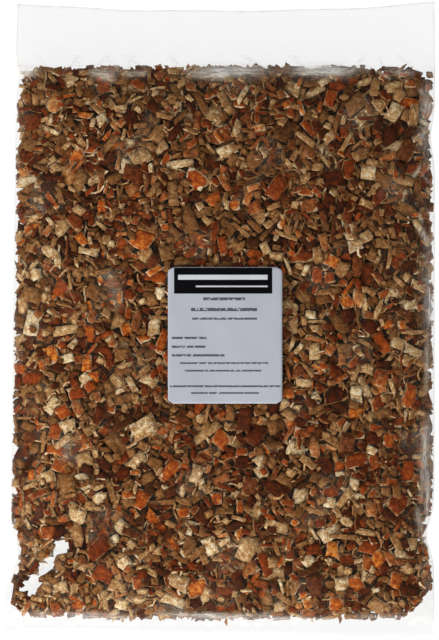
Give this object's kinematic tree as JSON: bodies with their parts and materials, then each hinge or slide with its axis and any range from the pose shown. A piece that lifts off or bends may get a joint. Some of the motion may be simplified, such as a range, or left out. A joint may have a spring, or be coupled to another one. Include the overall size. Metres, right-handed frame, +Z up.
{
  "type": "bag of dried orange peel",
  "caption": "Clear sealed plastic bag filled with cut, dried orange peel, lying on its back with a plain paper label up.",
  "frame": {"origin": "middle of the bag's footprint, on the surface that it lies on", "axes": "+X to the right across the bag, +Y from the foot to the empty head, +Z up out of the labelled side"},
  "size_m": [0.26, 0.3825, 0.0437],
  "materials": {
    "filled_film": "clear glossy film over brown, orange and cream pieces of dried peel",
    "label_paper": "smooth pale grey-blue label paper with a black band"
  },
  "bodies": {
    "root": {"bag": "filled_film", "label": "label_paper"}
  },
  "joints": []
}
